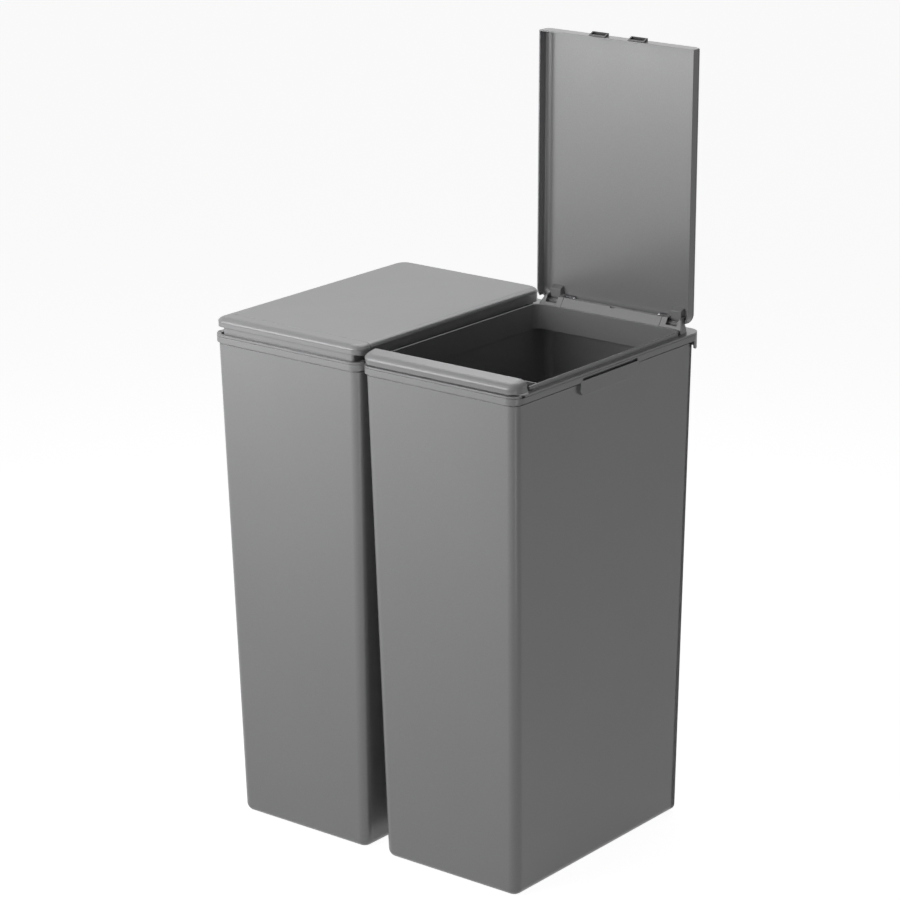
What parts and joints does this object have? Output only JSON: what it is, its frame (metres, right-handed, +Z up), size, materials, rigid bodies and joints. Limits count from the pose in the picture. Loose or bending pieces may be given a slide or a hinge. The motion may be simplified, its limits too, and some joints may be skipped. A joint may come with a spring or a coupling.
{
  "type": "double recycling bin",
  "caption": "Tall, slim, tapered bins clipped side by side, each with a hinged lid that a rocking press bar along its front edge holds shut",
  "frame": {"origin": "on the floor, under the middle of the rims' outline", "axes": "+Z up, -Y out of the front where the press bars are, +X to the right as seen from the front"},
  "size_m": [0.447, 0.365, 0.9502],
  "materials": {
    "bin_plastic": "metallic grey, satin",
    "collar_plastic": "metallic grey, satin",
    "lid_plastic": "metallic grey, satin",
    "dark_plastic": "dark grey, matt",
    "steel": "bright",
    "spring_steel": "drawn wire"
  },
  "bodies": {
    "bins": {"left_bucket": "bin_plastic", "left_collar": "collar_plastic", "left_hinge_cover": "collar_plastic", "left_hinge_pin_a": "steel", "left_hinge_pin_b": "steel", "left_hinge_spring_a": "spring_steel", "left_hinge_spring_b": "spring_steel", "left_bar_pin_a": "steel", "left_bar_pin_b": "steel", "right_bucket": "bin_plastic", "right_collar": "collar_plastic", "right_hinge_cover": "collar_plastic", "right_hinge_pin_a": "steel", "right_hinge_pin_b": "steel", "right_hinge_spring_a": "spring_steel", "right_hinge_spring_b": "spring_steel", "right_bar_pin_a": "steel", "right_bar_pin_b": "steel", "joining_clip": "dark_plastic"},
    "left_lid": {"left_lid": "lid_plastic", "left_latch_hook_a": "dark_plastic", "left_latch_hook_b": "dark_plastic"},
    "right_lid": {"right_lid": "lid_plastic", "right_latch_hook_a": "dark_plastic", "right_latch_hook_b": "dark_plastic"},
    "left_bar": {"left_press_bar": "lid_plastic"},
    "right_bar": {"right_press_bar": "lid_plastic"}
  },
  "joints": [
    {"name": "left_lid_hinge", "type": "hinge", "parent": "bins", "child": "left_lid", "pos_m": [-0.112, 0.1649, 0.6242], "axis": [-1, 0, 0], "range_deg": [0, 90]},
    {"name": "right_lid_hinge", "type": "hinge", "parent": "bins", "child": "right_lid", "pos_m": [0.112, 0.1649, 0.6242], "axis": [-1, 0, 0], "range_deg": [-90, 0], "stiffness_Nm_per_rad": 0.3, "springref_deg": 20.05},
    {"name": "left_bar_pivot", "type": "hinge", "parent": "bins", "child": "left_bar", "pos_m": [-0.112, -0.1395, 0.608], "axis": [1, 0, 0], "range_deg": [0, 10], "stiffness_Nm_per_rad": 0.05, "springref_deg": -34.38},
    {"name": "right_bar_pivot", "type": "hinge", "parent": "bins", "child": "right_bar", "pos_m": [0.112, -0.1395, 0.608], "axis": [1, 0, 0], "range_deg": [-10, 0]}
  ]
}
